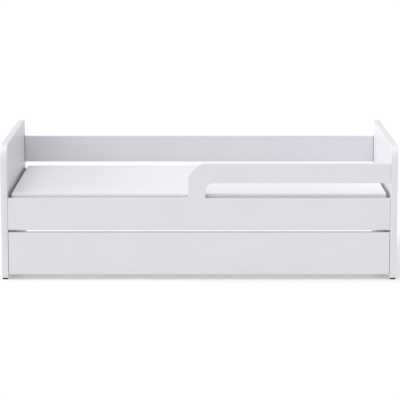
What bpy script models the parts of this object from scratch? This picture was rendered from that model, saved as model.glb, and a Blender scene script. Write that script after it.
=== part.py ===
"""Toddler bed: two board end panels, a front rail with a hooked fall guard, a slatted
base under a foam mattress, and a roll-out drawer on castors.

Metres, +Z up. The origin is on the floor, under the middle of the bed. The front, with
the guard and the drawer, faces -Y, and the bed's length runs along X.
"""

import math

import bmesh
import bpy
from mathutils import Vector

# Overall sizes of the bed
LENGTH = 1.460
DEPTH = 0.765
HEIGHT = 0.500
GAP = 0.0003  # between pieces that touch

# End panels
PANEL_THICKNESS = 0.025
PANEL_CORNER_RADIUS = 0.060
PANEL_REAR_RADIUS = 0.008
ARRIS = 0.0018
GLIDE_HEIGHT = 0.006
GLIDE_RADIUS = 0.011
GLIDE_INSET = 0.0125  # from the panel's front or rear edge to the glide's middle
STEM_RADIUS = 0.0018
STEM_LENGTH = 0.013
STEM_HOLE_RADIUS = 0.0022

# Front rail and its guard
RAIL_THICKNESS = 0.020
RAIL_RECESS = 0.001
RAIL_BOTTOM = 0.186
RAIL_TOP = 0.304
GUARD_TOP = 0.432
GUARD_LEFT = -0.041
GUARD_RADIUS = 0.067
SLOT_LEFT = 0.024
SLOT_TOP = 0.3605
SLOT_RADIUS = 0.030

# Back rails
BACK_RAIL_Y = 0.733  # front face of both back rails, behind the bed's front plane
UPPER_RAIL_BOTTOM = 0.333
UPPER_RAIL_TOP = 0.437

# Slatted base
LEDGER_WIDTH = 0.030
LEDGER_HEIGHT = 0.016
LEDGER_BOTTOM = 0.188
LEDGER_END_GAP = 0.0043
LEDGER_ARRIS = 0.001
SLAT_COUNT = 11
SLAT_WIDTH = 0.075
SLAT_THICKNESS = 0.015
SLAT_END_GAP = 0.001
SLAT_MARGIN = 0.015  # from an end panel to the first slat
SLAT_ARRIS = 0.002
STRAP_WIDTH = 0.022
STRAP_THICKNESS = 0.0015
STRAP_INSET = 0.170  # from the slats' ends to the strap's middle

# Mattress
MATTRESS_LENGTH = 1.384
MATTRESS_WIDTH = 0.700
MATTRESS_HEIGHT = 0.100
MATTRESS_CORNER = 0.015
MATTRESS_EDGE = 0.008

# Drawer
FRONT_THICKNESS = 0.018
FRONT_BOTTOM = 0.019
FRONT_TOP = 0.1775
FRONT_SIDE_GAP = 0.0015
FRONT_ARRIS = 0.0012
BOX_WIDTH = 1.344
BOX_DEPTH = 0.462
BOX_BOTTOM = 0.022
BOX_TOP = 0.088
BOARD = 0.016
BOARD_ARRIS = 0.0006
TRAY_THICKNESS = 0.004
TRAY_BOTTOM = 0.030
GROOVE_DEPTH = 0.006

# Castors
WHEEL_RADIUS = 0.019
WHEEL_WIDTH = 0.014
WHEEL_BORE = 0.0033
CASTOR_WIDTH = 0.022
CASTOR_LENGTH = 0.054
CASTOR_TOP = 0.052
CASTOR_BOTTOM = 0.012
CASTOR_ROUND = 0.014
CASTOR_ARRIS = 0.0012
CASTOR_INSET = 0.085  # from the box's ends to the wheel's axle
WHEEL_SIDE_PLAY = 0.001
WHEEL_ROUND_PLAY = 0.002
AXLE_RADIUS = 0.003
AXLE_HOLE_RADIUS = 0.0033
AXLE_HEAD_RADIUS = 0.0046

# Cam fittings: a bolt in the panel and a cam in the rail
CAM_RADIUS = 0.0075
CAM_DEPTH = 0.012
CAM_SINK = 0.0003  # from the rail's face down to the cam's face
CAM_REACH = 0.024  # from the rail's end to the cam's middle
CAM_PLAY = 0.0004
CAM_FLOOR_PLAY = 0.0008
SLOT_WIDTH = 0.0012  # of the cross in the cam's face, and its depth
SLOT_LENGTH = 0.0085
BOLT_BORE = 0.004
BOLT_HEAD_RADIUS = 0.0030
BOLT_RADIUS = 0.0022
COLLAR_RADIUS = 0.0036
THREAD_RADIUS = 0.0027
THREAD_LENGTH = 0.011
THREAD_BORE = 0.0039
PAST_HEAD = 0.0025  # from the cam's middle to the bolt's tip
LOW_CAM_LEFT = 0.218
HIGH_CAM_LEFT = 0.275
LOW_CAM_RIGHT = 0.245
HIGH_CAM_RIGHT = 0.396
UPPER_CAM = 0.385
LOWER_CAM = 0.245
CUT_PAST = 0.005  # how far a cutter stands clear of the face it enters

FRONT_Y = -DEPTH / 2
REAR_Y = DEPTH / 2
INNER_X = LENGTH / 2 - PANEL_THICKNESS
RAIL_END = INNER_X - GAP
FRONT_RAIL_Y = FRONT_Y + RAIL_RECESS + RAIL_THICKNESS / 2
BACK_RAILS_Y = FRONT_Y + BACK_RAIL_Y + RAIL_THICKNESS / 2
SLAT_BOTTOM = LEDGER_BOTTOM + LEDGER_HEIGHT + GAP
MATTRESS_BOTTOM = SLAT_BOTTOM + SLAT_THICKNESS + GAP
BAY_FRONT = FRONT_RAIL_Y + RAIL_THICKNESS / 2
BAY_REAR = BACK_RAILS_Y - RAIL_THICKNESS / 2
BOX_FRONT = FRONT_Y + FRONT_THICKNESS + GAP
BOX_REAR = BOX_FRONT + BOX_DEPTH


def clear_scene():
    for old in list(bpy.data.objects):
        bpy.data.objects.remove(old, do_unlink=True)


def new_collection(name):
    collection = bpy.data.collections.new(name)
    bpy.context.scene.collection.children.link(collection)
    return collection


def new_material(name, colour, roughness, metallic=0.0):
    material = bpy.data.materials.new(name)
    material.use_nodes = True
    shader = material.node_tree.nodes["Principled BSDF"]
    shader.inputs["Base Color"].default_value = (*colour, 1.0)
    shader.inputs["Roughness"].default_value = roughness
    shader.inputs["Metallic"].default_value = metallic
    material.diffuse_color = (*colour, 1.0)
    return material


clear_scene()
BED = new_collection("toddler_bed")
CUTTERS = new_collection("cutters")
PANEL_BOARD = new_material("panel_board", (0.80, 0.80, 0.82), 0.42)
RAIL_BOARD = new_material("rail_board", (0.78, 0.78, 0.80), 0.42)
DRAWER_BOARD = new_material("drawer_board", (0.80, 0.80, 0.82), 0.42)
TRAY_BOARD = new_material("tray_board", (0.70, 0.69, 0.67), 0.55)
SLAT_WOOD = new_material("slat_wood", (0.62, 0.47, 0.30), 0.60)
WEBBING = new_material("webbing", (0.75, 0.74, 0.70), 0.90)
MATTRESS_FABRIC = new_material("mattress_fabric", (0.84, 0.83, 0.88), 0.95)
GLIDE_PLASTIC = new_material("glide_plastic", (0.02, 0.02, 0.02), 0.50)
CASTOR_PLASTIC = new_material("castor_plastic", (0.08, 0.08, 0.08), 0.45)
WHEEL_PLASTIC = new_material("wheel_plastic", (0.16, 0.16, 0.17), 0.55)
FITTING_METAL = new_material("fitting_metal", (0.55, 0.55, 0.56), 0.35, 1.0)


def add_mesh(name, mesh, location, material, collection=None):
    item = bpy.data.objects.new(name, mesh)
    item.location = location
    (collection or BED).objects.link(item)
    if material is not None and not mesh.materials:
        mesh.materials.append(material)
    return item


def add_bevel(item, width, segments):
    bevel = item.modifiers.new("rounded edges", "BEVEL")
    bevel.width = width
    bevel.segments = segments
    bevel.limit_method = "ANGLE"
    bevel.angle_limit = math.radians(35)


def shade_round(item, sharp_degrees=35):
    item.data.shade_smooth()
    item.data.set_sharp_from_angle(angle=math.radians(sharp_degrees))


def box_mesh(name, size):
    mesh = bpy.data.meshes.new(name)
    shape = bmesh.new()
    bmesh.ops.create_cube(shape, size=1.0)
    bmesh.ops.scale(shape, vec=Vector(size), verts=shape.verts)
    shape.to_mesh(mesh)
    shape.free()
    return mesh


def cylinder_mesh(name, radius, depth, sides):
    mesh = bpy.data.meshes.new(name)
    shape = bmesh.new()
    bmesh.ops.create_cone(
        shape, cap_ends=True, segments=sides, radius1=radius, radius2=radius, depth=depth
    )
    shape.to_mesh(mesh)
    shape.free()
    return mesh


def box(name, low, high, material, bevel=0.0, segments=1):
    """A board between two corners, with its origin at its middle."""
    low, high = Vector(low), Vector(high)
    item = add_mesh(name, box_mesh(name, high - low), (low + high) / 2, material)
    if bevel:
        add_bevel(item, bevel, segments)
    return item


def arc(centre, radius, start, end, steps):
    """Points along a round corner, from one angle in degrees to another."""
    angles = [math.radians(start + (end - start) * i / steps) for i in range(steps + 1)]
    return [
        (centre[0] + radius * math.cos(a), centre[1] + radius * math.sin(a)) for a in angles
    ]


def outline_solid(name, points, thickness, location, rotation, material):
    """A flat outline extruded to a thickness, as a mesh that Booleans can cut."""
    curve = bpy.data.curves.new(name, "CURVE")
    curve.dimensions = "2D"
    curve.fill_mode = "BOTH"
    curve.extrude = thickness / 2
    spline = curve.splines.new("POLY")
    spline.points.add(len(points) - 1)
    for target, (x, y) in zip(spline.points, points):
        target.co = (x, y, 0.0, 1.0)
    spline.use_cyclic_u = True
    drawn = bpy.data.objects.new(name + "_outline", curve)
    drawn.location = location
    drawn.rotation_euler = rotation
    BED.objects.link(drawn)
    item = mesh_from(name, drawn, material)
    shape = bmesh.new()
    shape.from_mesh(item.data)
    bmesh.ops.remove_doubles(shape, verts=shape.verts, dist=1e-5)
    bmesh.ops.dissolve_limit(
        shape, angle_limit=math.radians(0.5), verts=shape.verts, edges=shape.edges
    )
    shape.to_mesh(item.data)
    shape.free()
    return item


def mesh_from(name, source, material):
    """A new object with the evaluated shape of another, which is then removed."""
    bpy.context.view_layer.update()
    graph = bpy.context.evaluated_depsgraph_get()
    mesh = bpy.data.meshes.new_from_object(source.evaluated_get(graph))
    mesh.materials.clear()
    item = add_mesh(name, mesh, (0, 0, 0), material)
    item.matrix_world = source.matrix_world.copy()
    bpy.data.objects.remove(source, do_unlink=True)
    return item


def turned(name, profile, steps, location, rotation, material, closed=False):
    """A profile of (radius, height) points, top to bottom, turned about its axis."""
    mesh = bpy.data.meshes.new(name)
    last = len(profile) - 1
    edges = [(i, i + 1) for i in range(last)]
    if closed:
        edges.append((last, 0))
    mesh.from_pydata([(radius, 0, height) for radius, height in profile], edges, [])
    item = add_mesh(name, mesh, location, material)
    item.rotation_euler = rotation
    screw = item.modifiers.new("turned", "SCREW")
    screw.steps = steps
    screw.render_steps = steps
    screw.use_merge_vertices = True
    screw.merge_threshold = 1e-5
    screw.use_smooth_shade = True
    return item


def subtract(item, cutter, label):
    cutter.hide_render = True
    cutter.display_type = "WIRE"
    cut = item.modifiers.new(label, "BOOLEAN")
    cut.operation = "DIFFERENCE"
    cut.object = cutter


def drill(item, label, start, end, radius, sides=12):
    """A round hole between two points."""
    start, end = Vector(start), Vector(end)
    along = end - start
    mesh = cylinder_mesh(f"{item.name}_{label}", radius, along.length, sides)
    cutter = add_mesh(mesh.name, mesh, (start + end) / 2, None, CUTTERS)
    cutter.rotation_euler = along.to_track_quat("Z", "Y").to_euler()
    subtract(item, cutter, label)


def mill(item, label, low, high):
    """A square pocket between two corners."""
    low, high = Vector(low), Vector(high)
    mesh = box_mesh(f"{item.name}_{label}", high - low)
    cutter = add_mesh(mesh.name, mesh, (low + high) / 2, None, CUTTERS)
    subtract(item, cutter, label)


# Outlines drawn in a plane that faces the named axis
FACING_X = (math.radians(90), 0, math.radians(90))
FACING_Y = (math.radians(90), 0, 0)
ALONG_X = (0, math.radians(90), 0)
SIDES = (("left", -1), ("right", 1))
ENDS = (("front", -1), ("rear", 1))


def build_end_panels():
    r = PANEL_CORNER_RADIUS
    q = PANEL_REAR_RADIUS
    profile = [(FRONT_Y, GLIDE_HEIGHT), (REAR_Y, GLIDE_HEIGHT)]
    profile += arc((REAR_Y - q, HEIGHT - q), q, 0, 90, 3)
    profile += arc((FRONT_Y + r, HEIGHT - r), r, 90, 180, 12)
    panels = {}
    for side, sign in SIDES:
        middle = sign * (INNER_X + PANEL_THICKNESS / 2)
        panel = outline_solid(
            f"end_panel_{side}", profile, PANEL_THICKNESS, (middle, 0, 0), FACING_X, PANEL_BOARD
        )
        add_bevel(panel, ARRIS, 2)
        panels[side] = panel
    return panels


def build_glides(panels):
    """Nail-on glides: a flat foot with a stem driven up into the panel's edge."""
    foot = GLIDE_HEIGHT - GAP
    tip = foot + STEM_LENGTH
    profile = (
        (0.0, tip),
        (STEM_RADIUS, tip - 0.001),
        (STEM_RADIUS, foot),
        (GLIDE_RADIUS - 0.0005, foot),
        (GLIDE_RADIUS, foot - 0.001),
        (GLIDE_RADIUS, 0.0012),
        (GLIDE_RADIUS - 0.0012, 0.0),
        (0.0, 0.0),
    )
    for side, sign in SIDES:
        x = sign * (INNER_X + PANEL_THICKNESS / 2)
        for end, way in ENDS:
            y = way * (DEPTH / 2 - GLIDE_INSET)
            turned(f"glide_{end}_{side}", profile, 16, (x, y, 0), (0, 0, 0), GLIDE_PLASTIC)
            hole_top = (x, y, tip + 0.0008)
            drill(panels[side], f"glide_hole_{end}", (x, y, 0), hole_top, STEM_HOLE_RADIUS, 8)


def build_front_rail():
    half = RAIL_END
    profile = [(-half, RAIL_BOTTOM), (half, RAIL_BOTTOM), (half, RAIL_TOP), (SLOT_LEFT, RAIL_TOP)]
    r = SLOT_RADIUS
    profile += arc((SLOT_LEFT + r, SLOT_TOP - r), r, 180, 90, 6)
    profile += [(half, SLOT_TOP), (half, GUARD_TOP)]
    r = GUARD_RADIUS
    profile += arc((GUARD_LEFT + r, GUARD_TOP - r), r, 90, 180, 10)
    profile += [(GUARD_LEFT, RAIL_TOP), (-half, RAIL_TOP)]
    rail = outline_solid(
        "front_rail_guard", profile, RAIL_THICKNESS, (0, FRONT_RAIL_Y, 0), FACING_Y, RAIL_BOARD
    )
    add_bevel(rail, ARRIS, 2)
    return rail


def build_back_rail(name, bottom, top):
    y = BACK_RAILS_Y
    half = RAIL_THICKNESS / 2
    low = (-RAIL_END, y - half, bottom)
    return box(name, low, (RAIL_END, y + half, top), RAIL_BOARD, ARRIS, 2)


def cam_mesh():
    """A cam: a short drum with a cross slot in its face and a mouth for the bolt's head."""
    drum = cylinder_mesh("cam_blank", CAM_RADIUS, CAM_DEPTH, 16)
    cam = add_mesh("cam_blank", drum, (0, 0, 0), FITTING_METAL)
    face = CAM_DEPTH / 2
    depth = CAM_SINK + face - RAIL_THICKNESS / 2
    outside = (-CAM_RADIUS - CUT_PAST, 0, depth)
    drill(cam, "mouth", (BOLT_BORE, 0, depth), outside, BOLT_BORE, 10)
    across, along = SLOT_WIDTH / 2, SLOT_LENGTH / 2
    for label, x, y in (("slot_long", along, across), ("slot_short", across, along)):
        mill(cam, label, (-x, -y, face - SLOT_WIDTH), (x, y, face + CUT_PAST))
    cutters = [cut.object for cut in cam.modifiers]
    finished = mesh_from("cam_finished", cam, FITTING_METAL)
    mesh = finished.data
    for used in [finished] + cutters:
        bpy.data.objects.remove(used, do_unlink=True)
    return mesh


def bolt_profile():
    """A cam bolt from its round head, past a neck and a collar, to its threaded end."""
    tip = CAM_REACH + PAST_HEAD
    return (
        (0.0, tip),
        (BOLT_HEAD_RADIUS, tip - 0.0008),
        (BOLT_HEAD_RADIUS, tip - 0.0042),
        (BOLT_RADIUS, tip - 0.0058),
        (BOLT_RADIUS, 0.0020),
        (COLLAR_RADIUS, 0.0014),
        (COLLAR_RADIUS, 0.0),
        (THREAD_RADIUS, -0.0006),
        (THREAD_RADIUS, 0.001 - THREAD_LENGTH),
        (0.0, -THREAD_LENGTH),
    )


def build_cam_joint(label, sign, rail, panel, drum, y, z):
    """One bolt screwed into an end panel, and the cam that draws the rail up to it."""
    end = sign * RAIL_END
    cam_x = end - sign * CAM_REACH
    face = y + RAIL_THICKNESS / 2
    turn = (0, math.radians(-90 * sign), 0)
    turned(f"cam_bolt_{label}", bolt_profile(), 8, (end, y, z), turn, FITTING_METAL)
    cam_y = face - CAM_SINK - CAM_DEPTH / 2
    cam = add_mesh(f"cam_{label}", drum, (cam_x, cam_y, z), FITTING_METAL)
    cam.rotation_euler = (math.radians(-90), 0, 0)
    if sign > 0:
        cam.rotation_euler.rotate_axis("Z", math.radians(180))
    floor = (cam_x, face - CAM_DEPTH - CAM_FLOOR_PLAY, z)
    mouth = (cam_x, face + CUT_PAST, z)
    drill(rail, f"cam_bore_{label}", floor, mouth, CAM_RADIUS + CAM_PLAY, 16)
    outside = (end + sign * CUT_PAST, y, z)
    past_head = (cam_x - sign * (PAST_HEAD + 0.001), y, z)
    drill(rail, f"bolt_bore_{label}", outside, past_head, BOLT_BORE, 10)
    inside = (end - sign * CUT_PAST, y, z)
    hole_floor = (end + sign * (THREAD_LENGTH + 0.001), y, z)
    drill(panel, f"bolt_hole_{label}", inside, hole_floor, THREAD_BORE, 10)


def build_cam_joints(panels, rails):
    """Two joints at each end of the front rail, and one at each end of each back rail."""
    drum = cam_mesh()
    front, upper, lower = rails
    joints = (
        ("front_1", front, FRONT_RAIL_Y, LOW_CAM_LEFT, LOW_CAM_RIGHT),
        ("front_2", front, FRONT_RAIL_Y, HIGH_CAM_LEFT, HIGH_CAM_RIGHT),
        ("upper", upper, BACK_RAILS_Y, UPPER_CAM, UPPER_CAM),
        ("lower", lower, BACK_RAILS_Y, LOWER_CAM, LOWER_CAM),
    )
    for label, rail, y, *heights in joints:
        for (side, sign), z in zip(SIDES, heights):
            build_cam_joint(f"{label}_{side}", sign, rail, panels[side], drum, y, z)


def build_slatted_base():
    build_ledgers()
    first, pitch, front, rear = slat_places()
    for i in range(SLAT_COUNT):
        x = first + i * pitch
        low = (x - SLAT_WIDTH / 2, front, SLAT_BOTTOM)
        high = (x + SLAT_WIDTH / 2, rear, SLAT_BOTTOM + SLAT_THICKNESS)
        box(f"slat_{i + 1:02d}", low, high, SLAT_WOOD, SLAT_ARRIS)
    top = SLAT_BOTTOM - GAP
    half = SLAT_WIDTH / 2 - first
    for end, y in (("front", front + STRAP_INSET), ("rear", rear - STRAP_INSET)):
        low = (-half, y - STRAP_WIDTH / 2, top - STRAP_THICKNESS)
        box(f"slat_strap_{end}", low, (half, y + STRAP_WIDTH / 2, top), WEBBING)


def slat_places():
    """The first slat's middle, the slats' pitch, and where the slats' ends are."""
    pitch = (2 * INNER_X - SLAT_WIDTH - 2 * SLAT_MARGIN) / (SLAT_COUNT - 1)
    first = -pitch * (SLAT_COUNT - 1) / 2
    return first, pitch, BAY_FRONT + SLAT_END_GAP, BAY_REAR - SLAT_END_GAP


def build_ledgers():
    """Battens along the front rail and the lower back rail, which carry the slats."""
    half = INNER_X - LEDGER_END_GAP
    top = LEDGER_BOTTOM + LEDGER_HEIGHT
    fronts = {"front": BAY_FRONT + GAP, "rear": BAY_REAR - GAP - LEDGER_WIDTH}
    for end, front in fronts.items():
        low = (-half, front, LEDGER_BOTTOM)
        high = (half, front + LEDGER_WIDTH, top)
        box(f"slat_ledger_{end}", low, high, SLAT_WOOD, LEDGER_ARRIS)


def build_mattress():
    half_x = MATTRESS_LENGTH / 2
    half_y = MATTRESS_WIDTH / 2
    r = MATTRESS_CORNER
    profile = []
    for i, (sx, sy) in enumerate(((1, 1), (-1, 1), (-1, -1), (1, -1))):
        centre = (sx * (half_x - r), sy * (half_y - r))
        profile += arc(centre, r, 90 * i, 90 * (i + 1), 6)
    middle = Vector((0, (BAY_FRONT + BAY_REAR) / 2, MATTRESS_BOTTOM + MATTRESS_HEIGHT / 2))
    mattress = outline_solid(
        "mattress", profile, MATTRESS_HEIGHT, middle, (0, 0, 0), MATTRESS_FABRIC
    )
    add_bevel(mattress, MATTRESS_EDGE, 3)


def build_drawer():
    """The drawer's boards, parented to an empty on the line it slides along."""
    slide = bpy.data.objects.new("drawer_slide_axis", None)
    slide.location = (0, FRONT_Y, BOX_BOTTOM)
    BED.objects.link(slide)
    half = INNER_X - FRONT_SIDE_GAP
    low = (-half, FRONT_Y, FRONT_BOTTOM)
    high = (half, FRONT_Y + FRONT_THICKNESS, FRONT_TOP)
    boards = {"drawer_front": box("drawer_front", low, high, DRAWER_BOARD, FRONT_ARRIS, 2)}
    half = BOX_WIDTH / 2
    for side, sign in SIDES:
        x = sorted((sign * half, sign * (half - BOARD)))
        name = f"drawer_side_{side}"
        boards[name] = drawer_board(name, (x[0], BOX_FRONT), (x[1], BOX_REAR))
    inner = half - BOARD - GAP
    back = BOX_REAR - BOARD
    boards["drawer_back"] = drawer_board("drawer_back", (-inner, back), (inner, BOX_REAR))
    corners = (-BOARD / 2, BOX_FRONT), (BOARD / 2, back - GAP)
    boards["drawer_divider"] = drawer_board("drawer_divider", *corners)
    for side, sign in SIDES:
        boards[f"drawer_bottom_{side}"] = build_tray(side, sign, back, boards)
    for board in boards.values():
        board.parent = slide
        board.matrix_parent_inverse = slide.matrix_basis.inverted()
    return slide


def drawer_board(name, low, high):
    """An upright board of the drawer box, between two corners of its plan."""
    return box(name, (*low, BOX_BOTTOM), (*high, BOX_TOP), DRAWER_BOARD, BOARD_ARRIS)


def build_tray(side, sign, back, boards):
    """One half of the drawer's bottom, and the grooves that hold its four edges."""
    near = sign * (BOARD / 2 - GROOVE_DEPTH)
    far = sign * (BOX_WIDTH / 2 - BOARD + GROOVE_DEPTH)
    x = sorted((near, far))
    low = Vector((x[0], BOX_FRONT - GROOVE_DEPTH, TRAY_BOTTOM))
    high = Vector((x[1], back + GROOVE_DEPTH, TRAY_BOTTOM + TRAY_THICKNESS))
    room = Vector((GAP, GAP, GAP))
    for board in ("drawer_front", f"drawer_side_{side}", "drawer_back", "drawer_divider"):
        mill(boards[board], f"groove_{side}", low - room, high + room)
    return box(f"drawer_bottom_{side}", low, high, TRAY_BOARD)


def wheel_profile():
    """Half the wheel's section goes down its outer side, and the other half mirrors it."""
    half = WHEEL_WIDTH / 2
    upper = [
        (WHEEL_BORE, half),
        (0.0070, half),
        (0.0080, half - 0.0025),
        (0.0140, half - 0.0025),
        (0.0150, half),
        (WHEEL_RADIUS - 0.0012, half),
        (WHEEL_RADIUS, half - 0.0015),
    ]
    return upper + [(radius, -height) for radius, height in reversed(upper)]


def axle_profile():
    """An axle pin from its domed head to the end that is pressed in."""
    return (
        (0.0, 0.0018),
        (AXLE_RADIUS, 0.0015),
        (AXLE_HEAD_RADIUS, 0.0006),
        (AXLE_HEAD_RADIUS, 0.0),
        (AXLE_RADIUS, 0.0),
        (AXLE_RADIUS, 0.0010 - CASTOR_WIDTH),
        (0.0, 0.0005 - CASTOR_WIDTH),
    )


def build_housing(name, middle, y):
    """A castor's housing: an arched block with a slot for the wheel and an axle hole."""
    half = CASTOR_LENGTH / 2
    r = CASTOR_ROUND
    profile = [(-half, CASTOR_BOTTOM), (half, CASTOR_BOTTOM)]
    profile += arc((half - r, CASTOR_TOP - r), r, 0, 90, 5)
    profile += arc((r - half, CASTOR_TOP - r), r, 90, 180, 5)
    place = (middle, y, 0)
    housing = outline_solid(name, profile, CASTOR_WIDTH, place, FACING_X, CASTOR_PLASTIC)
    add_bevel(housing, CASTOR_ARRIS, 1)
    side = WHEEL_WIDTH / 2 + WHEEL_SIDE_PLAY
    round_it = WHEEL_RADIUS + WHEEL_ROUND_PLAY
    low = (middle - side, y - round_it, 0)
    mill(housing, "wheel_slot", low, (middle + side, y + round_it, WHEEL_RADIUS + round_it))
    reach = CASTOR_WIDTH / 2 + CUT_PAST
    ends = (middle - reach, y, WHEEL_RADIUS), (middle + reach, y, WHEEL_RADIUS)
    drill(housing, "axle_hole", *ends, AXLE_HOLE_RADIUS, 12)
    return housing


def build_castors(slide):
    """Four fixed castors on the outside of the drawer's sides."""
    for side, sign in SIDES:
        inner = sign * (BOX_WIDTH / 2 + GAP)
        outer = inner + sign * CASTOR_WIDTH
        middle = (inner + outer) / 2
        for end, y in (("front", BOX_FRONT + CASTOR_INSET), ("rear", BOX_REAR - CASTOR_INSET)):
            name = f"{end}_{side}"
            centre = (middle, y, WHEEL_RADIUS)
            head = (outer + sign * GAP, y, WHEEL_RADIUS)
            turn = (0, math.radians(90 * sign), 0)
            wheel = (f"castor_wheel_{name}", wheel_profile(), 18, centre, ALONG_X)
            axle = (f"castor_axle_{name}", axle_profile(), 10, head, turn)
            pieces = (
                build_housing(f"castor_housing_{name}", middle, y),
                turned(*wheel, WHEEL_PLASTIC, closed=True),
                turned(*axle, FITTING_METAL),
            )
            for piece in pieces:
                piece.parent = slide
                piece.matrix_parent_inverse = slide.matrix_basis.inverted()


def main():
    panels = build_end_panels()
    front = build_front_rail()
    upper = build_back_rail("back_rail_upper", UPPER_RAIL_BOTTOM, UPPER_RAIL_TOP)
    lower = build_back_rail("back_rail_lower", RAIL_BOTTOM, RAIL_TOP)
    build_cam_joints(panels, (front, upper, lower))
    build_glides(panels)
    build_slatted_base()
    build_mattress()
    slide = build_drawer()
    build_castors(slide)
    for item in BED.objects:
        if item.type == "MESH" and item.name.startswith(("castor", "glide", "cam_")):
            shade_round(item)


main()
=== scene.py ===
"""Looks for the toddler bed: board, wood, fabric, plastic and metal finishes, a foam
mattress in a sewn cover, the small hardware, and a plain bright studio.

Metres, +Z up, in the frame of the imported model: the bed's front faces -Y.
"""

import math

import bmesh
import bpy
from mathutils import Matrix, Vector
from mathutils.bvhtree import BVHTree


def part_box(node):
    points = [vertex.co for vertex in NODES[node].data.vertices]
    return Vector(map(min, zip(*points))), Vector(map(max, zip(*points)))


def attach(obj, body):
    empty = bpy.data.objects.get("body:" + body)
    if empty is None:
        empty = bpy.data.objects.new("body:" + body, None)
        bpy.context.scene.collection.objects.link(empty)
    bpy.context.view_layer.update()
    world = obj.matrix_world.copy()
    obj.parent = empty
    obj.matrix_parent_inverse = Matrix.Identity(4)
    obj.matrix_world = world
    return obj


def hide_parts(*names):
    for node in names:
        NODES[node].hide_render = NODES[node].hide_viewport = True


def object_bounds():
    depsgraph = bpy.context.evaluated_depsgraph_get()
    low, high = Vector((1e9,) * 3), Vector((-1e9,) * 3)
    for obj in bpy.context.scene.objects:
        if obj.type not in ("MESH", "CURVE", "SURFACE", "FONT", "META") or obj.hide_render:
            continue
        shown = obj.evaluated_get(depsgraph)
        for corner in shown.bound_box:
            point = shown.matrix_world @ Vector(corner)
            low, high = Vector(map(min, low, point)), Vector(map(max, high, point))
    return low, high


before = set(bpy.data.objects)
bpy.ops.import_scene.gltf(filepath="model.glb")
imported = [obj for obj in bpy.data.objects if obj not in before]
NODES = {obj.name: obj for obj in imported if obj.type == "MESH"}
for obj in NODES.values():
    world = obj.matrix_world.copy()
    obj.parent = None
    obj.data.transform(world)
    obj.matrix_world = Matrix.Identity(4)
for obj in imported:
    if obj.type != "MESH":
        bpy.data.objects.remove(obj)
CAD_LOW, CAD_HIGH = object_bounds()
SIDES = ("left", "right")
ENDS = ("front", "rear")
CORNERS = ((1, 1), (-1, 1), (-1, -1), (1, -1))
UP = Vector((0, 0, 1))
TINY = 1e-6

# Camera, from a fit to the edges of the bed
CAMERA_LENS = 175.1
CAMERA_DISTANCE = 7.056  # in front of the bed's front plane
CAMERA_HEIGHT = 1.484
CAMERA_SIDE = 0.0037
CAMERA_PITCH = 9.538

# Studio: each light's name, compass angle (0 in front of the bed, 90 on its left),
# height angle, strength and softness, in degrees
LIGHTS = (
    ("overhead_light", 0.0, 89.0, 0.38, 20.0),
    ("high_side_light", 90.0, 75.0, 0.90, 42.0),
    ("low_side_light", 90.0, 12.0, 1.20, 40.0),
    ("front_light", 45.0, 25.0, 0.44, 42.0),
)
SKY_STRENGTH = 0.60
FLOOR_SIZE = 120.0
FLOOR_SHIFT = 20.0  # back from the bed, where the camera looks
FLOOR_GLOW = 0.325  # the floor is a lit white sheet, as under a product shot

# Boards
BOARD_WHITE = (0.766, 0.758, 0.796)
PANEL_CORNER = 0.060  # radius of the end panels' front top corner
EDGING = 0.0024  # from a board's edge to the glue line of its edging
GLUE_LINE = 0.00035
END_SHADE_WIDTH = 0.0016  # width of the painted shade, dark like bare chipboard, in the cracks at the back rails' ends

# Mattress
COVER_EASE = Vector((0.0015, 0.0025, -0.0020))  # out from the CAD block, before it swells
MATTRESS_CORNER = 0.006
SHOULDER_WIDTH = 0.003
SHOULDER_RISE = 0.003
FOOT_ROUND = 0.008
CORNER_STEPS = 6
EDGE_STEPS = 6
SIDE_STEPS = 7
MIDDLE_RINGS = 18
RING_STEP = 0.016
SWELL_FRAMES = 20
COVER_CLOTH = {
    "quality": 4,
    "mass": 0.3,
    "tension_stiffness": 12,
    "compression_stiffness": 12,
    "shear_stiffness": 6,
    "bending_stiffness": 1.5,
    "use_pressure": True,
    "uniform_pressure_force": 4.0,
}
SWELL_LIMIT = 0.0045
SIDE_GIVE = 0.2  # how much of the swelling the tight sides follow
SEAM_DROP = 0.024  # from the mattress's top to its upper seam
SEAM_RISE = 0.019  # from its underside to the lower seam
TAPE_RADIUS = 0.0017
TAPE_SIDES = 8
TAPE_SINK = 0.0006  # how deep the tape lies in the cover
REACH = 0.1  # how far outside the cover the search for its surface starts

# Hardware
OUTWARD = (-1, 1)  # the way along X that each side faces
INWARD = (1, -1)  # the way along Y from each end to the middle of the bed
SCREW_SIDES = 24
HEAD_EDGE = ((1.0, 0.0), (1.0, 0.30), (0.90, 0.68), (0.72, 0.93))  # shares of the two below
PAN_HEAD = (0.0030, 0.0017)  # radius and height
FLAT_HEAD = (0.0035, 0.0007)
RECESS_REACH = 0.52  # of a head's cross recess, as a share of the head's radius
RECESS_WIDTH = 0.30  # of each arm of the cross, as a share of its reach
RECESS_TAPER = 0.72  # the recess's size at its floor
DRAWER_SCREW_LOW = 0.020  # from the drawer back's lower and upper edges
DRAWER_SCREW_HIGH = 0.014
CASTOR_SCREW_Y = 0.0165
CASTOR_SCREW_DROP = 0.0075
LEDGER_SCREWS = 6
SLAT_SCREW_INSET = 0.014
SLAT_SCREW_SINK = 0.0004
SLATS = 11
STAPLE_WIDTH = 0.010
STAPLE_WIRE = 0.0005
STAPLE_LEG = 0.0020
STAPLE_BEND = 0.0008
STAPLE_SPACING = 0.034
STAPLE_SIDES = 6


# ---------------------------------------------------------------- shader tools


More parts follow.
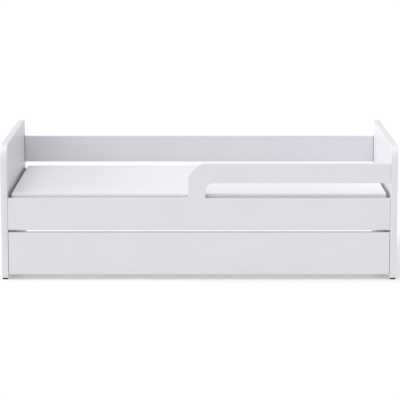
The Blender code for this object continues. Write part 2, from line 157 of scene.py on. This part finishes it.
class Graph:
    """A material's node tree, with short calls for the nodes that the finishes use."""

    def __init__(self, name):
        self.material = bpy.data.materials.new(name)
        self.material.use_nodes = True
        self.tree = self.material.node_tree
        self.shader = self.tree.nodes["Principled BSDF"]
        self.place = self.tree.nodes.new("ShaderNodeTexCoord").outputs["Object"]

    def add(self, kind, inputs=None, **settings):
        node = self.tree.nodes.new(kind)
        for key, value in settings.items():
            setattr(node, key, value)
        for key, value in (inputs or {}).items():
            self.put(node.inputs[key], value)
        return node

    def put(self, socket, value):
        if isinstance(value, bpy.types.NodeSocket):
            self.tree.links.new(value, socket)
        else:
            socket.default_value = value

    def math(self, operation, a, b=0.0, clamp=False):
        node = self.add("ShaderNodeMath", {0: a, 1: b}, operation=operation, use_clamp=clamp)
        return node.outputs[0]

    def stretched(self, scale, offset=(0, 0, 0)):
        inputs = {"Vector": self.place, "Scale": scale, "Location": offset}
        return self.add("ShaderNodeMapping", inputs).outputs[0]

    def noise(self, scale, detail=3.0, roughness=0.5, vector=None, distortion=0.0):
        inputs = {
            "Vector": vector or self.place,
            "Scale": scale,
            "Detail": detail,
            "Roughness": roughness,
            "Distortion": distortion,
        }
        return self.add("ShaderNodeTexNoise", inputs).outputs["Fac"]

    def spread(self, value, low, high, out_low, out_high):
        inputs = {
            "Value": value,
            "From Min": low,
            "From Max": high,
            "To Min": out_low,
            "To Max": out_high,
        }
        return self.add("ShaderNodeMapRange", inputs).outputs[0]

    def ramp(self, factor, stops):
        node = self.add("ShaderNodeValToRGB", {"Fac": factor})
        ramp = node.color_ramp
        while len(ramp.elements) < len(stops):
            ramp.elements.new(0.5)
        for element, (at, colour) in zip(ramp.elements, stops):
            element.position = at
            element.color = (*colour, 1.0)
        return node.outputs["Color"]

    def blend(self, factor, a, b, mode="MIX"):
        node = self.add("ShaderNodeMix", data_type="RGBA", blend_type=mode)
        for socket, value in zip(
            (node.inputs[0], node.inputs[6], node.inputs[7]), (factor, a, b)
        ):
            if isinstance(value, tuple) and len(value) == 3:
                value = (*value, 1.0)
            self.put(socket, value)
        return node.outputs[2]

    def axis(self, name):
        split = self.add("ShaderNodeSeparateXYZ", {"Vector": self.place})
        return split.outputs[name]

    def bump(self, height, distance, strength=1.0, under=None):
        inputs = {"Height": height, "Distance": distance, "Strength": strength}
        if under is not None:
            inputs["Normal"] = under
        return self.add("ShaderNodeBump", inputs).outputs[0]

    def finish(self, colour, roughness, normal=None, fixed=None):
        self.put(self.shader.inputs["Base Color"], colour)
        self.put(self.shader.inputs["Roughness"], roughness)
        if normal is not None:
            self.put(self.shader.inputs["Normal"], normal)
        for name, value in (fixed or {}).items():
            self.shader.inputs[name].default_value = value
        return self.material


# ------------------------------------------------------------------- materials


def line_mask(graph, distance, at):
    """1 on the thin glue line where a distance has one value, and 0 away from it."""
    away = graph.math("ABSOLUTE", graph.math("SUBTRACT", distance, at))
    return graph.spread(away, GLUE_LINE * 0.4, GLUE_LINE, 1.0, 0.0)


def edge_lines(graph, *nodes):
    """Glue lines along the top and bottom edges of boards that stand on edge."""
    z = graph.axis("Z")
    marks = []
    for node in nodes:
        low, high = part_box(node)
        marks.append(line_mask(graph, z, low.z + EDGING))
        marks.append(line_mask(graph, z, high.z - EDGING))
    total = marks[0]
    for mark in marks[1:]:
        total = graph.math("MAXIMUM", total, mark)
    return total


def board(name, seam, end_shade=None):
    """White melamine-faced board: a fine pearl texture, faint cloudiness, the glue line of
    its edging where seam(graph) gives one, and painted shade, a dark chipboard-brown mottle
    standing for the shadow in a crack, where the last argument gives 1."""
    graph = Graph(name)
    cloud = graph.noise(5.0, 2.0, 0.55)
    speck = graph.noise(620.0, 2.0, 0.6)
    tone = graph.blend(
        graph.spread(cloud, 0.3, 0.7, 0.0, 1.0),
        tuple(c * 0.990 for c in BOARD_WHITE),
        tuple(c * 1.008 for c in BOARD_WHITE),
    )
    tone = graph.blend(graph.spread(speck, 0.35, 0.75, 0.0, 0.10), tone, (0.70, 0.70, 0.71))
    pearl = graph.noise(950.0, 2.5, 0.55)
    normal = graph.bump(pearl, 0.00012, 0.22)
    wave = graph.noise(9.0, 1.0, 0.4)
    normal = graph.bump(wave, 0.0012, 0.10, normal)
    rough = graph.spread(graph.noise(38.0, 3.0, 0.6), 0.25, 0.75, 0.36, 0.47)
    mark = seam(graph)
    tone = graph.blend(graph.math("MULTIPLY", mark, 0.30), tone, (0.50, 0.50, 0.51))
    rough = graph.math("ADD", rough, graph.math("MULTIPLY", mark, 0.2))
    normal = graph.bump(graph.math("SUBTRACT", 1.0, mark), 0.0002, 0.5, normal)
    # Painted shade: a dark chipboard-brown, rougher mottle where the crack at a board's end lies
    # in shadow
    if end_shade is not None:
        end_shade_mask = end_shade(graph)
        shade_mottle = graph.noise(420.0, 4.0, 0.7)
        shade_colour = graph.ramp(shade_mottle, [(0.35, (0.060, 0.048, 0.036)), (0.65, (0.21, 0.17, 0.125))])
        tone = graph.blend(end_shade_mask, tone, shade_colour)
        rough = graph.math("MAXIMUM", rough, graph.math("MULTIPLY", end_shade_mask, 0.9))
    return graph.finish(tone, rough, normal, {"Specular IOR Level": 0.45})


def panel_seam(graph):
    """The edging's glue line on an end panel's faces, which follows the round corner."""
    low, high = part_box("end_panel_left")
    y, z = graph.axis("Y"), graph.axis("Z")
    forward = graph.math("SUBTRACT", low.y + PANEL_CORNER, y)
    upward = graph.math("SUBTRACT", z, high.z - PANEL_CORNER)
    squares = [
        graph.math("POWER", graph.math("MAXIMUM", value, 0.0), 2.0) for value in (forward, upward)
    ]
    round_part = graph.math("SQRT", graph.math("ADD", *squares))
    square_part = graph.math("MINIMUM", graph.math("MAXIMUM", forward, upward), 0.0)
    front = graph.math("SUBTRACT", PANEL_CORNER, graph.math("ADD", round_part, square_part))
    back = graph.math("SUBTRACT", high.y, y)
    bottom = graph.math("SUBTRACT", z, low.z)
    nearest = graph.math("MINIMUM", front, graph.math("MINIMUM", back, bottom))
    return line_mask(graph, nearest, EDGING)


def rail_seam(graph):
    return edge_lines(graph, "front_rail_guard", "back_rail_upper", "back_rail_lower")


def rail_end_shade(graph):
    """The back rails' ends, cut square against the panels: a mask for painted shade, 1 in the dark
    crack where each rail meets a panel.
    """
    low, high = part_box("back_rail_upper")
    away = graph.math("ABSOLUTE", graph.axis("X"))
    at_end = graph.spread(away, high.x - END_SHADE_WIDTH, high.x - END_SHADE_WIDTH * 0.7, 0.0, 1.0)
    behind = graph.math("GREATER_THAN", graph.axis("Y"), low.y - END_SHADE_WIDTH)
    return graph.math("MULTIPLY", at_end, behind)


def drawer_seam(graph):
    return edge_lines(graph, "drawer_front")


def fibreboard():
    """Thin lacquered fibreboard, matt, with faint fibres."""
    graph = Graph("tray_finish")
    fibres = graph.noise(55.0, 5.0, 0.65, graph.stretched((1.0, 7.0, 1.0)))
    speck = graph.noise(700.0, 2.0, 0.7)
    tone = graph.ramp(fibres, [(0.25, (0.66, 0.645, 0.61)), (0.75, (0.745, 0.735, 0.705))])
    tone = graph.blend(graph.spread(speck, 0.45, 0.8, 0.0, 0.22), tone, (0.52, 0.49, 0.44))
    normal = graph.bump(fibres, 0.0003, 0.25)
    rough = graph.spread(speck, 0.2, 0.8, 0.50, 0.66)
    return graph.finish(tone, rough, normal)


def softwood(name, along, seed, pitch=0.0):
    """Planed spruce. along is the axis that the grain runs along, and pitch is the spacing
    along X of boards that each have their own grain and tone."""
    graph = Graph(name)
    board_tone = 0.5
    if pitch:
        number = graph.math("ROUND", graph.math("DIVIDE", graph.axis("X"), pitch))
        own = graph.add("ShaderNodeTexWhiteNoise", {"W": number}, noise_dimensions="1D")
        board_tone = own.outputs["Value"]
        away = graph.add(
            "ShaderNodeVectorMath", {0: own.outputs["Color"], "Scale": 9.0}, operation="SCALE"
        )
        moved = graph.add("ShaderNodeVectorMath", {0: graph.place, 1: away.outputs[0]})
        graph.place = moved.outputs[0]
    squeeze = {"X": (0.9, 11.0, 11.0), "Y": (11.0, 0.9, 11.0)}[along]
    grain = graph.stretched(squeeze, (seed, seed * 0.7, seed * 0.3))
    warp = graph.noise(3.2, 2.0, 0.5, grain)
    rings = graph.add(
        "ShaderNodeTexWave",
        {
            "Vector": grain,
            "Scale": 3.4,
            "Distortion": 7.0,
            "Detail": 3.0,
            "Detail Scale": 1.4,
            "Phase Offset": graph.math("MULTIPLY", warp, 9.0),
        },
        wave_type="BANDS",
        bands_direction="X" if along == "Y" else "Y",
        wave_profile="SIN",
    ).outputs["Fac"]
    pores = graph.noise(46.0, 4.0, 0.7, graph.stretched(tuple(s * 1.8 for s in squeeze)))
    tone = graph.ramp(
        rings,
        [(0.0, (0.70, 0.525, 0.335)), (0.55, (0.665, 0.475, 0.285)), (0.95, (0.51, 0.325, 0.165))],
    )
    patch = graph.noise(2.3, 2.0, 0.5)
    tone = graph.blend(graph.spread(patch, 0.3, 0.7, 0.0, 0.35), tone, (0.74, 0.58, 0.40))
    tone = graph.blend(graph.spread(pores, 0.5, 0.8, 0.0, 0.4), tone, (0.40, 0.25, 0.13))
    tone = graph.blend(graph.spread(board_tone, 0.0, 1.0, 0.0, 0.35), tone, (0.60, 0.41, 0.24))
    knots = graph.add("ShaderNodeTexVoronoi", {"Vector": graph.place, "Scale": 4.7})
    knot = graph.spread(knots.outputs["Distance"], 0.035, 0.060, 0.85, 0.0)
    tone = graph.blend(knot, tone, (0.23, 0.115, 0.05))
    normal = graph.bump(pores, 0.0003, 0.35)
    normal = graph.bump(rings, 0.0002, 0.25, normal)
    rough = graph.spread(rings, 0.0, 1.0, 0.62, 0.48)
    return graph.finish(tone, rough, normal)


def woven_band():
    """Polyester webbing: ribs across the strap, two threads high."""
    graph = Graph("webbing_finish")
    x, y = graph.axis("X"), graph.axis("Y")
    ribs = graph.math("SINE", graph.math("MULTIPLY", x, 2 * math.pi / 0.0018))
    warp = graph.math("SINE", graph.math("MULTIPLY", y, 2 * math.pi / 0.0011))
    weave = graph.spread(graph.math("MULTIPLY", ribs, warp), -1.0, 1.0, 0.0, 1.0)
    tone = graph.ramp(weave, [(0.0, (0.50, 0.49, 0.46)), (1.0, (0.76, 0.75, 0.71))])
    fluff = graph.noise(400.0, 3.0, 0.7)
    tone = graph.blend(graph.spread(fluff, 0.4, 0.8, 0.0, 0.2), tone, (0.62, 0.60, 0.55))
    normal = graph.bump(weave, 0.0004, 0.7)
    rough = graph.spread(fluff, 0.2, 0.8, 0.78, 0.95)
    return graph.finish(tone, rough, normal, {"Sheen Weight": 0.3})


def knit_cover():
    """The mattress cover: a fine jersey knit over soft foam."""
    graph = Graph("mattress_cover")
    x, y, z = graph.axis("X"), graph.axis("Y"), graph.axis("Z")
    pitch = 2 * math.pi / 0.0021
    across = graph.math("SINE", graph.math("MULTIPLY", graph.math("ADD", x, z), pitch))
    along = graph.math("SINE", graph.math("MULTIPLY", graph.math("ADD", y, z), pitch * 0.8))
    loops = graph.spread(graph.math("MULTIPLY", across, along), -1.0, 1.0, 0.0, 1.0)
    thread = graph.noise(900.0, 3.0, 0.65)
    tone = graph.ramp(loops, [(0.0, (0.78, 0.775, 0.815)), (1.0, (0.85, 0.845, 0.88))])
    tone = graph.blend(graph.spread(thread, 0.4, 0.85, 0.0, 0.25), tone, (0.715, 0.705, 0.75))
    soft = graph.noise(3.5, 3.0, 0.5)
    tone = graph.blend(graph.spread(soft, 0.3, 0.7, 0.0, 0.12), tone, (0.765, 0.76, 0.80))
    normal = graph.bump(loops, 0.00045, 0.40)
    normal = graph.bump(thread, 0.0002, 0.30, normal)
    normal = graph.bump(graph.noise(26.0, 3.0, 0.55), 0.0016, 0.22, normal)
    rough = graph.spread(thread, 0.2, 0.8, 0.80, 0.95)
    return graph.finish(tone, rough, normal, {"Sheen Weight": 0.25, "Sheen Roughness": 0.5})


def tape_cloth():
    """Twill tape and stitches of the mattress's seams."""
    graph = Graph("seam_tape")
    x, y, z = graph.axis("X"), graph.axis("Y"), graph.axis("Z")
    run = graph.math("ADD", graph.math("ADD", x, y), graph.math("MULTIPLY", z, 2.0))
    twill = graph.math("SINE", graph.math("MULTIPLY", run, 2 * math.pi / 0.0016))
    level = graph.spread(twill, -1.0, 1.0, 0.0, 1.0)
    tone = graph.ramp(level, [(0.0, (0.66, 0.655, 0.70)), (1.0, (0.86, 0.855, 0.895))])
    normal = graph.bump(level, 0.0003, 0.6)
    rough = graph.spread(graph.noise(500.0), 0.2, 0.8, 0.75, 0.92)
    return graph.finish(tone, rough, normal, {"Sheen Weight": 0.2})


def moulded_plastic(name, colour, low_rough, high_rough):
    """Moulded plastic: fine spark texture, slight scuffing on high spots."""
    graph = Graph(name)
    spark = graph.noise(1400.0, 2.0, 0.6)
    scuff = graph.noise(90.0, 4.0, 0.7)
    light = tuple(min(1.0, c * 1.5 + 0.02) for c in colour)
    tone = graph.blend(graph.spread(scuff, 0.52, 0.8, 0.0, 0.5), tuple(colour), light)
    normal = graph.bump(spark, 0.00012, 0.45)
    rough = graph.spread(scuff, 0.25, 0.75, low_rough, high_rough)
    return graph.finish(tone, rough, normal)


def zinc_plate():
    """Zinc-plated steel and die-cast zinc: cloudy plating, fine turning marks."""
    graph = Graph("zinc_plate")
    cloud = graph.noise(240.0, 3.0, 0.6)
    tone = graph.ramp(cloud, [(0.3, (0.46, 0.465, 0.48)), (0.7, (0.63, 0.63, 0.635))])
    fine = graph.noise(2600.0, 2.0, 0.6)
    normal = graph.bump(fine, 0.00006, 0.4)
    rough = graph.spread(cloud, 0.25, 0.75, 0.26, 0.42)
    return graph.finish(tone, rough, normal, {"Metallic": 1.0})


def backdrop():
    """Plain white studio floor."""
    graph = Graph("studio_floor")
    fine = graph.noise(14.0, 2.0, 0.5)
    tone = graph.ramp(fine, [(0.3, (0.61, 0.61, 0.61)), (0.7, (0.63, 0.63, 0.63))])
    fixed = {
        "Specular IOR Level": 0.1,
        "Emission Color": (1.0, 1.0, 1.0, 1.0),
        "Emission Strength": FLOOR_GLOW,
    }
    return graph.finish(tone, 0.85, fixed=fixed)


def dress(prefix, material, *names):
    """Gives a finish to the CAD nodes whose names start with a prefix, or are listed."""
    for name, node in NODES.items():
        if (prefix and name.startswith(prefix)) or name in names:
            for holder in node.material_slots:
                holder.material = material


def dress_frame(metal):
    dress("end_panel", board("panel_finish", panel_seam))
    # The rails' finish carries painted shade in the cracks at the back rails' ends
    rails = board("rail_finish", rail_seam, rail_end_shade)
    dress("back_rail", rails, "front_rail_guard")
    drawer = board("drawer_finish", drawer_seam)
    dress("drawer_side", drawer, "drawer_front", "drawer_back", "drawer_divider")
    dress("drawer_bottom", fibreboard())
    dress("slat_", softwood("slat_finish", "Y", 3.0, slat_pitch()))
    dress("slat_ledger", softwood("ledger_finish", "X", 8.0))
    dress("slat_strap", woven_band())
    dress("glide", moulded_plastic("glide_finish", (0.012, 0.012, 0.013), 0.40, 0.60))
    dress("castor_housing", moulded_plastic("housing_finish", (0.045, 0.046, 0.05), 0.38, 0.55))
    dress("castor_wheel", moulded_plastic("wheel_finish", (0.10, 0.10, 0.105), 0.50, 0.70))
    dress("castor_axle", metal)
    dress("cam", metal)


def slat_pitch():
    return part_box("slat_02")[0].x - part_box("slat_01")[0].x


# ------------------------------------------------------------------- geometry


def add_piece(name, shape, material, body):
    """A new visual piece from a bmesh, smooth where it is round."""
    bmesh.ops.recalc_face_normals(shape, faces=shape.faces)
    mesh = bpy.data.meshes.new(name)
    shape.to_mesh(mesh)
    shape.free()
    mesh.shade_smooth()
    mesh.set_sharp_from_angle(angle=math.radians(38))
    mesh.materials.append(material)
    piece = bpy.data.objects.new(name, mesh)
    bpy.context.scene.collection.objects.link(piece)
    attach(piece, body)
    return piece


def skin(shape, rings, loop=False, caps=True):
    """Faces between rings of points, with the first and last rings closed by caps."""
    rows = [[shape.verts.new(point) for point in ring] for ring in rings]
    pairs = list(zip(rows, rows[1:]))
    if loop:
        pairs.append((rows[-1], rows[0]))
    for row, after in pairs:
        for i in range(len(row)):
            j = (i + 1) % len(row)
            shape.faces.new((row[i], row[j], after[j], after[i]))
    if caps and not loop:
        shape.faces.new(rows[0])
        shape.faces.new(rows[-1][::-1])


def cross_outline(angle, reach):
    """How far a cross recess goes from its middle in one direction."""
    across = min(abs(math.sin(angle)), abs(math.cos(angle)))
    along = max(abs(math.sin(angle)), abs(math.cos(angle)))
    width = reach * RECESS_WIDTH
    return min(reach / along, max(width / max(across, TINY), width * 1.2))


def screw_head(shape, place, outward, radius, height):
    """A round screw head with a cross recess, standing on a face."""
    turn = outward.to_track_quat("Z", "Y").to_matrix()
    angles = [2 * math.pi * i / SCREW_SIDES for i in range(SCREW_SIDES)]
    reach = radius * RECESS_REACH
    floor = max(height * 0.2, height - reach * 0.8)
    levels = [([radius * share] * SCREW_SIDES, height * rise) for share, rise in HEAD_EDGE]
    levels.append(([cross_outline(a, reach) for a in angles], height))
    levels.append(([cross_outline(a, reach * RECESS_TAPER) for a in angles], floor))
    rings = []
    for spreads, rise in levels:
        ring = [Vector((r * math.cos(a), r * math.sin(a), rise)) for r, a in zip(spreads, angles)]
        rings.append([place + turn @ point for point in ring])
    skin(shape, rings)


def build_screws(metal):
    """The screw heads that a viewer can see, in one piece for each body they ride on."""
    add_piece("castor_screws", castor_screws(), metal, "drawer")
    add_piece("drawer_screws", drawer_screws(), metal, "drawer")
    add_piece("base_screws", base_screws(), metal, "frame")


def castor_screws():
    """Two pan heads on each castor's housing."""
    shape = bmesh.new()
    for side, out in zip(SIDES, OUTWARD):
        for end in ENDS:
            low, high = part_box(f"castor_housing_{end}_{side}")
            face = low.x if out < 0 else high.x
            middle = (low.y + high.y) / 2
            for away in (-CASTOR_SCREW_Y, CASTOR_SCREW_Y):
                place = Vector((face, middle + away, high.z - CASTOR_SCREW_DROP))
                screw_head(shape, place, Vector((out, 0, 0)), *PAN_HEAD)
    return shape


def drawer_screws():
    """Flat heads that hold the drawer's back between its sides, and its divider."""
    shape = bmesh.new()
    low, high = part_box("drawer_back")
    for z in (low.z + DRAWER_SCREW_LOW, high.z - DRAWER_SCREW_HIGH):
        screw_head(shape, Vector((0, high.y, z)), Vector((0, 1, 0)), *FLAT_HEAD)
        for side, out in zip(SIDES, OUTWARD):
            side_low, side_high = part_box(f"drawer_side_{side}")
            face = side_low.x if out < 0 else side_high.x
            place = Vector((face, (low.y + high.y) / 2, z))
            screw_head(shape, place, Vector((out, 0, 0)), *FLAT_HEAD)
    return shape


def base_screws():
    """Flat heads along the two ledgers, and at the ends of the first and last slats."""
    shape = bmesh.new()
    for end, facing in zip(ENDS, INWARD):
        low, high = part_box(f"slat_ledger_{end}")
        face = high.y if facing > 0 else low.y
        for i in range(LEDGER_SCREWS):
            share = (i + 0.5) / LEDGER_SCREWS
            place = Vector((low.x + (high.x - low.x) * share, face, (low.z + high.z) / 2))
            screw_head(shape, place, Vector((0, facing, 0)), *FLAT_HEAD)
    for slat in ("slat_01", f"slat_{SLATS}"):
        low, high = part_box(slat)
        for y in (low.y + SLAT_SCREW_INSET, high.y - SLAT_SCREW_INSET):
            place = Vector(((low.x + high.x) / 2, y, high.z - SLAT_SCREW_SINK))
            screw_head(shape, place, UP, *FLAT_HEAD)
    return shape


def build_staples(metal):
    """Wire staples that hold the two straps to each slat, seen from below."""
    shape = bmesh.new()
    for end in ENDS:
        low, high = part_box(f"slat_strap_{end}")
        middle = (low.y + high.y) / 2
        for number in range(1, SLATS + 1):
            slat_low, slat_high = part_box(f"slat_{number:02d}")
            centre = (slat_low.x + slat_high.x) / 2
            for away in (-STAPLE_SPACING / 2, STAPLE_SPACING / 2):
                place = Vector((centre + away, middle, low.z - STAPLE_WIRE * 0.6))
                staple_wire(shape, place)
    add_piece("strap_staples", shape, metal, "frame")


def staple_wire(shape, place):
    """The part of a staple that lies on the strap, with its ends bent up into the wood."""
    half = STAPLE_WIDTH / 2
    flat = half - STAPLE_BEND
    path = (
        (-half, STAPLE_LEG),
        (-half, STAPLE_BEND),
        (-flat, 0.0),
        (flat, 0.0),
        (half, STAPLE_BEND),
        (half, STAPLE_LEG),
    )
    rings = []
    for i, (y, z) in enumerate(path):
        before = path[max(i - 1, 0)]
        after = path[min(i + 1, len(path) - 1)]
        along = Vector((0, after[0] - before[0], after[1] - before[1])).normalized()
        sideways = Vector((1, 0, 0))
        centre = place + Vector((0, y, z))
        rings.append(
            wire_ring(centre, sideways, sideways.cross(along), STAPLE_WIRE, STAPLE_SIDES)
        )
    skin(shape, rings)


def wire_ring(centre, first, second, radius, sides):
    """A circle of points round a wire, in the plane of two directions."""
    turns = [2 * math.pi * k / sides for k in range(sides)]
    return [centre + radius * (math.cos(t) * first + math.sin(t) * second) for t in turns]


def build_seams(mattress, cloth):
    """Corded seams round the cover's top and bottom panels, lying on its sides."""
    low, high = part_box("mattress")
    half = (high - low) / 2
    centre = (low + high) / 2
    surface = BVHTree.FromPolygons(
        [v.co for v in mattress.data.vertices], [p.vertices for p in mattress.data.polygons]
    )
    for name, z in (("seam_top", high.z - SEAM_DROP), ("seam_bottom", low.z + SEAM_RISE)):
        shape = bmesh.new()
        rings = []
        for place, spine in ring_points(half, MATTRESS_CORNER):
            inward = (spine - place).normalized().to_3d()
            start = Vector((centre.x + place.x, centre.y + place.y, z)) - inward * REACH
            middle = surface.ray_cast(start, inward)[0] + inward * TAPE_SINK
            rings.append(wire_ring(middle, -inward, UP, TAPE_RADIUS, TAPE_SIDES))
        skin(shape, rings, loop=True)
        add_piece(name, shape, cloth, "mattress")


def ring_points(half, corner):
    """Points round a rectangle with round corners, as (place, point on its spine) pairs.
    The spine is the line that the rings shrink to at the middle of the block."""
    spine = half.x - half.y
    outline = []
    for quarter, (sx, sy) in enumerate(CORNERS):
        centre = Vector((sx * (half.x - corner), sy * (half.y - corner)))
        for step in range(CORNER_STEPS + 1):
            turn = math.pi / 2 * (quarter + step / CORNER_STEPS)
            outline.append(centre + corner * Vector((math.cos(turn), math.sin(turn))))
    points = []
    for here, after in zip(outline, outline[1:] + outline[:1]):
        count = max(1, round((after - here).length / RING_STEP))
        points += [here.lerp(after, i / count) for i in range(count)]
    return [(p, Vector((min(max(p.x, -spine), spine), 0.0))) for p in points]


def quarter_round(across, up):
    """A quarter ellipse from an upright side to a level face, as (inset, rise) pairs."""
    turns = [math.pi / 2 * i / EDGE_STEPS for i in range(EDGE_STEPS + 1)]
    return [(across * (1 - math.cos(t)), up * math.sin(t)) for t in turns]


def foam_block(low, high):
    """A foam block as rings round its spine: a soft shoulder at the top, upright sides and
    a small round at the bottom."""
    half = (high - low) / 2
    centre = (low + high) / 2
    foot = high.z - SHOULDER_RISE
    heel = low.z + FOOT_ROUND
    below = [(inset, heel - rise) for inset, rise in quarter_round(FOOT_ROUND, FOOT_ROUND)]
    above = [(inset, foot + rise) for inset, rise in quarter_round(SHOULDER_WIDTH, SHOULDER_RISE)]
    climb = foot - heel
    side = [(0.0, foot - climb * i / SIDE_STEPS) for i in range(SIDE_STEPS - 1, 0, -1)]
    edge = below[::-1] + side + above
    shares = [i / MIDDLE_RINGS for i in range(1, MIDDLE_RINGS + 1)]
    shape = bmesh.new()
    columns = []
    for place, spine in ring_points(half, MATTRESS_CORNER):
        inward = (spine - place).normalized()
        path = [(place + inward * inset, z) for inset, z in edge]
        first, last = path[0][0], path[-1][0]
        path = [(first.lerp(spine, share), low.z) for share in reversed(shares)] + path
        path += [(last.lerp(spine, share), high.z) for share in shares]
        points = [(centre.x + flat.x, centre.y + flat.y, z) for flat, z in path]
        columns.append([shape.verts.new(point) for point in points])
    for column, beside in zip(columns, columns[1:] + columns[:1]):
        for i in range(len(column) - 1):
            shape.faces.new((column[i], beside[i], beside[i + 1], column[i + 1]))
    bmesh.ops.remove_doubles(shape, verts=shape.verts, dist=TINY)
    bmesh.ops.recalc_face_normals(shape, faces=shape.faces)
    return shape


def swell(mattress, underside):
    """Inflates the foam block like a filled cover, then applies the result."""
    start = [v.co.copy() for v in mattress.data.vertices]
    cloth = mattress.modifiers.new("cover", "CLOTH")
    for name, value in COVER_CLOTH.items():
        setattr(cloth.settings, name, value)
    cloth.settings.effector_weights.gravity = 0.0
    cloth.collision_settings.use_collision = False
    for step in range(1, SWELL_FRAMES + 1):
        bpy.context.scene.frame_set(step)
    settle(mattress)
    bpy.context.scene.frame_set(1)
    for vertex, before in zip(mattress.data.vertices, start):
        moved = vertex.co - before
        reach = max(moved.length, TINY)
        moved *= SWELL_LIMIT * (1.0 - math.exp(-reach / SWELL_LIMIT)) / reach
        moved.x *= SIDE_GIVE
        moved.y *= SIDE_GIVE
        vertex.co = before + moved
        vertex.co.z = max(vertex.co.z, underside)


def settle(mesh_object):
    """Applies an object's modifiers to its mesh."""
    bpy.context.view_layer.update()
    graph = bpy.context.evaluated_depsgraph_get()
    mesh = bpy.data.meshes.new_from_object(mesh_object.evaluated_get(graph))
    old = mesh_object.data
    mesh_object.modifiers.clear()
    mesh_object.data = mesh
    mesh.name = old.name
    bpy.data.meshes.remove(old)


def build_mattress(cover):
    low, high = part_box("mattress")
    shape = foam_block(low - COVER_EASE, high + COVER_EASE)
    mesh = bpy.data.meshes.new("mattress_cover")
    shape.to_mesh(mesh)
    shape.free()
    mattress = bpy.data.objects.new("mattress_cover", mesh)
    bpy.context.scene.collection.objects.link(mattress)
    swell(mattress, low.z)
    finer = mattress.modifiers.new("fine surface", "SUBSURF")
    finer.levels = 1
    finer.render_levels = 1
    settle(mattress)
    mattress.data.shade_smooth()
    mattress.data.materials.append(cover)
    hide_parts("mattress")
    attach(mattress, "mattress")
    return mattress


# ---------------------------------------------------------------------- studio


def build_floor():
    bpy.ops.mesh.primitive_plane_add(size=FLOOR_SIZE, location=(0, FLOOR_SHIFT, 0))
    floor = bpy.context.object
    floor.name = "studio_floor"
    floor.data.materials.append(backdrop())


def build_lights():
    world = bpy.data.worlds.new("studio")
    bpy.context.scene.world = world
    world.use_nodes = True
    sky = world.node_tree.nodes["Background"]
    sky.inputs["Color"].default_value = (1.0, 1.0, 1.0, 1.0)
    sky.inputs["Strength"].default_value = SKY_STRENGTH
    for name, compass, height, strength, softness in LIGHTS:
        lamp = bpy.data.lights.new(name, "SUN")
        lamp.energy = strength
        lamp.angle = math.radians(softness)
        light = bpy.data.objects.new(name, lamp)
        turned = math.radians(-compass)
        light.rotation_euler = (math.radians(90.0 - height), 0.0, turned)
        bpy.context.scene.collection.objects.link(light)
    bpy.context.scene.view_settings.view_transform = "Standard"


def build_camera():
    data = bpy.data.cameras.new("camera")
    data.sensor_width = 36.0
    data.lens = CAMERA_LENS
    data.clip_end = 200.0
    camera = bpy.data.objects.new("camera", data)
    camera.location = (CAMERA_SIDE, CAD_LOW.y - CAMERA_DISTANCE, CAMERA_HEIGHT)
    camera.rotation_euler = (math.radians(90 - CAMERA_PITCH), 0, 0)
    bpy.context.scene.collection.objects.link(camera)
    bpy.context.scene.camera = camera


def main():
    build_camera()
    build_floor()
    build_lights()
    metal = zinc_plate()
    dress_frame(metal)
    mattress = build_mattress(knit_cover())
    build_seams(mattress, tape_cloth())
    build_screws(metal)
    build_staples(metal)


main()
